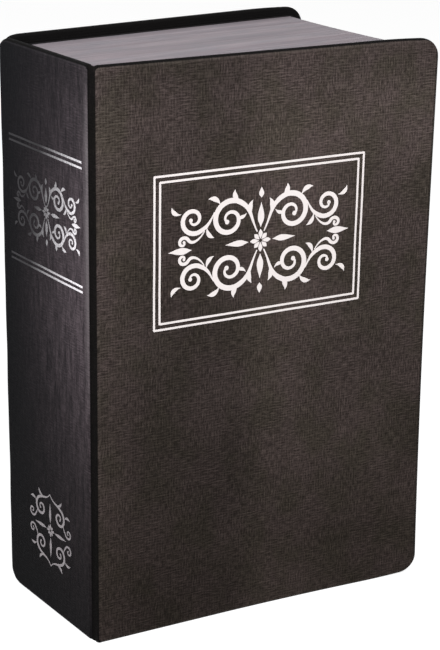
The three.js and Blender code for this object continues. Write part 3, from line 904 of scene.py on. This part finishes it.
def foil(name, colour, wear_and_painted_light=None):
    """Foil. Where a second, dark colour is given, the foil is painted that colour towards the back of
    the spine, and more so towards the head: painted shade where its reflection falls off."""
    surface, tree = new_material(name)
    place = add(tree, "TexCoord").outputs["Object"]
    grain = noise(tree, place, (2200, 2200, 2200), 3.0, 0.7)
    tint = mix(tree, remap(tree, grain, 0.3, 0.75, 0, 0.35), colour, srgb(205, 196, 194))
    if wear_and_painted_light:
        axes = add(tree, "SeparateXYZ", {"Vector": place}).outputs
        above = maths(tree, "SUBTRACT", axes["Z"], FADE_LEANS_ABOVE * MM)
        lean = maths(tree, "MULTIPLY", maths(tree, "MAXIMUM", above, 0), FADE_LEAN)
        across = maths(tree, "ADD", axes["Y"], lean)
        start, end = (book_corner.y + y * MM for y in FADE)
        left = maths(tree, "POWER", remap(tree, across, start, end, 1, 0), 1.3)
        speckle = remap(tree, noise(tree, place, (1500, 1500, 1500), 3.0, 0.8), 0.35, 0.65, 0.6, 1.4)
        tint = mix(tree, maths(tree, "MULTIPLY", left, speckle, True), wear_and_painted_light, tint)
    shader = add(tree, "BsdfPrincipled", {
        "Base Color": tint,
        "Roughness": remap(tree, grain, 0.3, 0.7, 0.32, 0.5),
        "Normal": bump(tree, grain, 0.3, 0.00008),
    })
    shader.inputs["Specular IOR Level"].default_value = 0.12
    output(tree, shader.outputs["BSDF"])
    return surface


def powder_coat():
    surface, tree = new_material("powder_coat")
    place = add(tree, "TexCoord").outputs["Object"]
    peel = noise(tree, place, (1500, 1500, 1500), 2.0)
    cloudy = noise(tree, place, (60, 60, 60), 3.0, 0.6)
    colour = mix(tree, remap(tree, cloudy, 0.3, 0.7), srgb(38, 39, 41), srgb(48, 49, 52))
    shader = add(tree, "BsdfPrincipled", {
        "Base Color": colour,
        "Roughness": remap(tree, peel, 0.3, 0.7, 0.36, 0.52),
        "Normal": bump(tree, peel, 0.35, 0.00015),
    })
    output(tree, shader.outputs["BSDF"])
    return surface


def zinc_plate():
    surface, tree = new_material("zinc_plate")
    place = add(tree, "TexCoord").outputs["Object"]
    brushed = noise(tree, place, (2600, 2600, 120), 3.0, 0.7)
    stains = noise(tree, place, (220, 220, 220), 3.0, 0.6)
    colour = mix(tree, remap(tree, stains, 0.35, 0.7), srgb(196, 198, 200), srgb(172, 174, 178))
    shader = add(tree, "BsdfPrincipled", {
        "Base Color": colour,
        "Roughness": remap(tree, brushed, 0.3, 0.7, 0.28, 0.42),
        "Normal": bump(tree, brushed, 0.15, 0.00005),
    })
    shader.inputs["Metallic"].default_value = 1.0
    output(tree, shader.outputs["BSDF"])
    return surface


def polished_chrome():
    surface, tree = new_material("polished_chrome")
    place = add(tree, "TexCoord").outputs["Object"]
    smear = noise(tree, place, (300, 300, 300), 3.0, 0.6)
    colour = mix(tree, remap(tree, smear, 0.3, 0.7), srgb(226, 228, 230), srgb(214, 217, 220))
    shader = add(tree, "BsdfPrincipled", {
        "Base Color": colour,
        "Roughness": remap(tree, smear, 0.3, 0.7, 0.1, 0.2),
    })
    shader.inputs["Metallic"].default_value = 1.0
    output(tree, shader.outputs["BSDF"])
    return surface


# Rim colours are painted shade on the board edges; the worn colours make the lighter edge line, partly
# wear and partly painted highlight
cover_cloth = linen(
    "cover_linen",
    dark=srgb(48, 41, 39),
    light=srgb(87, 76, 73),
    wear_and_painted_light=srgb(76, 70, 65),
    rim=srgb(8, 7, 7),
)
case_cloth = linen(
    "case_linen",
    dark=srgb(40, 34, 31),
    light=srgb(79, 69, 64),
    wear_and_painted_light=srgb(54, 51, 53),
    rim=srgb(8, 7, 7),
    # The spine's own colour, its painted sheen, and the painted highlight along its edge
    spine=(srgb(15, 15, 17), srgb(87, 78, 82), srgb(97, 91, 93)),
)
# The groove's cloth is painted near black: painted shade in the groove
groove_cloth = linen(
    "groove_linen_painted_shade",
    dark=srgb(12, 10, 10),
    light=srgb(20, 17, 16),
    wear_and_painted_light=srgb(17, 15, 15),
    rim=srgb(12, 10, 10),
)
pages = page_edges()
endpaper = endpaper_sheet()
greyboard = greyboard_core()
front_foil = foil("front_foil", srgb(208, 201, 199))
foot_foil = foil("foot_foil", srgb(112, 107, 110))
# The spine foil's dark colour is painted shade where its reflection falls off
spine_foil = foil("spine_foil", srgb(250, 246, 249), wear_and_painted_light=srgb(30, 28, 31))
black_steel = powder_coat()
bright_steel = zinc_plate()
chrome = polished_chrome()


# Metal and paper pieces that keep their shape from the frame
def dress(names, surface, edge=0.0):
    """Gives nodes a material, and softens their edges where edge is above 0 (millimetres)."""
    for name in names:
        node = frame["nodes"][name]
        node.data.materials.clear()
        node.data.materials.append(surface)
        if not edge:
            continue
        weld = node.modifiers.new("weld", "WELD")
        weld.merge_threshold = 1e-6
        bevel = node.modifiers.new("edges", "BEVEL")
        bevel.width = edge * MM
        bevel.segments = 2
        bevel.limit_method = "ANGLE"
        bevel.angle_limit = math.radians(38)
        node.data.polygons.foreach_set("use_smooth", [True] * len(node.data.polygons))
        weighted_normals(node)


dress(["tray", "face_frame"], black_steel, 0.18)
dress(["lid_plate"], black_steel, 0.25)
dress(["hinge_leaf_fixed", "hinge_leaf_moving"], bright_steel, 0.12)
dress(["lock_washer", "lock_nut", "lock_cam"], bright_steel, 0.15)
small = [n for n in frame["nodes"] if n.startswith(("fixed_rivet", "lid_rivet", "tray_screw"))]
dress(small + ["cam_screw", "hinge_pin"], bright_steel, 0.08)
dress(["lock_housing", "lock_plug"], chrome, 0.1)
dress(["spine_lining", "back_endpaper"], endpaper)
dress(["spine_board", "back_board", "front_board"], greyboard)

front_cover()
case()
groove()
page_block()
foils()


# Floor, light and camera
FLOOR_GREY = 0.36
FLOOR_GLOW = 0.8
WORLD_LIGHT = 0.42
AIM = Vector((0, 0, 0.09))


def seen_directly(tree):
    """1 where the studio itself is seen, and 0 where it only gives light."""
    path = add(tree, "LightPath").outputs
    seen = maths(tree, "MAXIMUM", path["Is Camera Ray"], path["Is Glossy Ray"])
    return maths(tree, "MAXIMUM", seen, path["Is Transmission Ray"])


def studio():
    surface, tree = new_material("studio_floor")
    grey = (FLOOR_GREY, FLOOR_GREY, FLOOR_GREY, 1)
    ground = add(tree, "BsdfDiffuse", {"Color": grey}).outputs["BSDF"]
    strength = maths(tree, "MULTIPLY", seen_directly(tree), FLOOR_GLOW)
    glow = add(tree, "Emission", {"Color": (1, 1, 1, 1), "Strength": strength})
    output(tree, add(tree, "AddShader", {0: ground, 1: glow.outputs["Emission"]}).outputs["Shader"])
    bpy.ops.mesh.primitive_plane_add(size=8)
    floor = bpy.context.object
    floor.name = "studio_floor"
    floor.data.materials.append(surface)

    world = bpy.data.worlds.new("studio")
    bpy.context.scene.world = world
    world.use_nodes = True
    tree = world.node_tree
    tree.nodes.clear()
    strength = remap(tree, seen_directly(tree), 0, 1, WORLD_LIGHT, 1)
    back = add(tree, "Background", {"Color": (1, 1, 1, 1), "Strength": strength})
    add(tree, "OutputWorld", {"Surface": back.outputs["Background"]})


def softbox(name, place, size, power, colour=(1, 1, 1)):
    lamp = bpy.data.lights.new(name, "AREA")
    lamp.shape = "SQUARE"
    lamp.size = size
    lamp.energy = power
    lamp.color = colour
    box = bpy.data.objects.new(name, lamp)
    bpy.context.scene.collection.objects.link(box)
    box.location = place
    box.rotation_mode = "QUATERNION"
    box.rotation_quaternion = (AIM - box.location).to_track_quat("-Z", "Y")


# The photograph's viewpoint, fitted to the edges of the book: yaw, pitch and roll in degrees, the
# focal length and sensor in millimetres, and the place in book coordinates
CAMERA_ANGLES = (35.542, 19.478, 0.959)
CAMERA_PLACE = (-258.55, -424.73, 280.68)
FOCAL_LENGTH = 100.819
SENSOR_WIDTH = 36


def camera():
    yaw, pitch, roll = (math.radians(angle) for angle in CAMERA_ANGLES)
    level = Vector((math.sin(yaw), math.cos(yaw), 0))
    side = Vector((math.cos(yaw), -math.sin(yaw), 0))
    upright = Vector((0, 0, 1))
    ahead = level * math.cos(pitch) - upright * math.sin(pitch)
    up = upright * math.cos(pitch) + level * math.sin(pitch)
    right = side * math.cos(roll) + up * math.sin(roll)
    top = up * math.cos(roll) - side * math.sin(roll)
    lens = bpy.data.cameras.new("camera")
    lens.sensor_width = SENSOR_WIDTH
    lens.lens = FOCAL_LENGTH
    lens.clip_start = 0.01
    view = bpy.data.objects.new("camera", lens)
    bpy.context.scene.collection.objects.link(view)
    turned = Matrix((right, top, -ahead)).transposed().to_4x4()
    view.matrix_world = Matrix.Translation(in_row(*CAMERA_PLACE)) @ turned
    bpy.context.scene.camera = view


studio()
softbox("key", place=(-0.06, -0.42, 0.5), size=0.36, power=3.5)
softbox("left_fill", place=(-0.58, -0.2, 0.48), size=0.35, power=4.5, colour=(0.96, 0.97, 1))
camera()
bpy.context.scene.view_settings.view_transform = "Standard"
